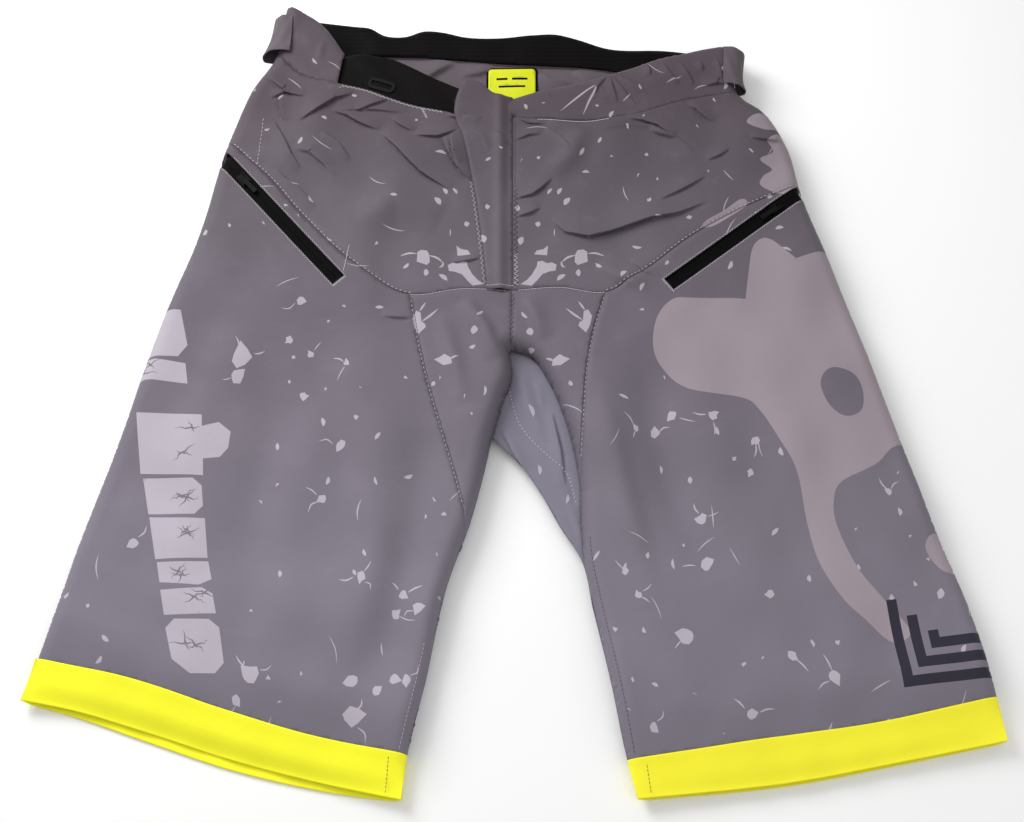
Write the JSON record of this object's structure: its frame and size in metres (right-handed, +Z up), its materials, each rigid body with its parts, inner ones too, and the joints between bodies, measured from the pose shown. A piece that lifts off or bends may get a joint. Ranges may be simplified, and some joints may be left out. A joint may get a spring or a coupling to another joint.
{
  "type": "loose-fit downhill shorts",
  "caption": "Loose woven riding shorts laid flat: zipped fly under a placket, side pocket zips that open, part-elastic waistband and wide contrast hems.",
  "frame": {"origin": "middle of the garment's outline, at the flat surface it lies on", "axes": "+X from the wearer's right leg to the wearer's left, +Y from the hems to the waist, +Z up through the front; the garment lies on its back"},
  "size_m": [0.749, 0.7014, 0.0342],
  "materials": {
    "shell_cloth": "plain-woven polyester, slightly glossy",
    "lining_cloth": "plain-woven polyester, matt",
    "hem_cloth": "plain-woven polyester, bright",
    "label_cloth": "satin-woven label",
    "black_elastic": "ribbed knitted elastic",
    "pocket_mesh": "knitted mesh",
    "zip_tape": "woven twill tape",
    "black_trim": "moulded, matt",
    "black_zip": "satin black paint",
    "zip_metal": "plain plated metal"
  },
  "bodies": {
    "garment": {"back_leg_left": "shell_cloth", "back_leg_right": "shell_cloth", "back_yoke": "shell_cloth", "closure_bar": "black_trim", "closure_bar_inner": "black_trim", "crotch_gusset": "lining_cloth", "fly_placket": "shell_cloth", "fly_shield": "lining_cloth", "fly_zip_coil_lower": "black_trim", "fly_zip_coil_upper": "black_trim", "fly_zip_stop": "zip_metal", "fly_zip_tape_lower": "zip_tape", "fly_zip_tape_upper": "zip_tape", "front_leg_left": "shell_cloth", "front_leg_right": "shell_cloth", "front_yoke_left": "shell_cloth", "front_yoke_right": "shell_cloth", "hem_band_left": "hem_cloth", "hem_band_right": "hem_cloth", "inner_thigh_left": "shell_cloth", "inner_thigh_right": "shell_cloth", "label_backing": "black_trim", "pocket_bag_left": "pocket_mesh", "pocket_bag_right": "pocket_mesh", "pocket_zip_left_coil_lower": "black_trim", "pocket_zip_left_coil_upper": "black_trim", "pocket_zip_left_stop": "black_zip", "pocket_zip_left_tape_lower": "zip_tape", "pocket_zip_left_tape_upper": "zip_tape", "pocket_zip_right_coil_lower": "black_trim", "pocket_zip_right_coil_upper": "black_trim", "pocket_zip_right_stop": "black_zip", "pocket_zip_right_tape_lower": "zip_tape", "pocket_zip_right_tape_upper": "zip_tape", "side_tab_left": "shell_cloth", "side_tab_right": "shell_cloth", "size_label": "label_cloth", "waist_elastic_left": "black_elastic", "waist_gripper": "black_elastic", "waist_hook": "zip_metal", "waist_strap": "black_elastic", "waistband_back": "shell_cloth", "waistband_facing_left": "lining_cloth", "waistband_facing_right": "lining_cloth", "waistband_front_left": "shell_cloth", "waistband_front_right": "shell_cloth"},
    "pocket_slider_right": {"pocket_zip_right_slider": "black_zip"},
    "pocket_pull_right": {"pocket_zip_right_pull": "black_zip"},
    "pocket_slider_left": {"pocket_zip_left_slider": "black_zip"},
    "pocket_pull_left": {"pocket_zip_left_pull": "black_zip"},
    "fly_slider": {"fly_zip_slider": "zip_metal"},
    "fly_pull": {"fly_zip_pull": "zip_metal"}
  },
  "joints": [
    {"name": "pocket_zip_right_slide", "type": "slide", "parent": "garment", "child": "pocket_slider_right", "axis": [0.6643, -0.7474, -0.0075], "range_m": [0, 0.12]},
    {"name": "pocket_zip_right_pull_swing", "type": "hinge", "parent": "pocket_slider_right", "child": "pocket_pull_right", "pos_m": [-0.2304, 0.16805, 0.02978], "axis": [-0.7474, -0.6643, -0.0066], "range_deg": [0, 170]},
    {"name": "pocket_zip_left_slide", "type": "slide", "parent": "garment", "child": "pocket_slider_left", "axis": [-0.7934, -0.6087, -0.0061], "range_m": [0, 0.1097]},
    {"name": "pocket_zip_left_pull_swing", "type": "hinge", "parent": "pocket_slider_left", "child": "pocket_pull_left", "pos_m": [0.22479, 0.13993, 0.0295], "axis": [-0.6087, 0.7933, 0.0079], "range_deg": [0, 170]},
    {"name": "fly_zip_slide", "type": "slide", "parent": "garment", "child": "fly_slider", "axis": [0, -1, -0.01], "range_m": [0, 0.112]},
    {"name": "fly_zip_pull_swing", "type": "hinge", "parent": "fly_slider", "child": "fly_pull", "pos_m": [-0.01, 0.20497, 0.02825], "axis": [-1, 0, 0], "range_deg": [0, 8]}
  ]
}
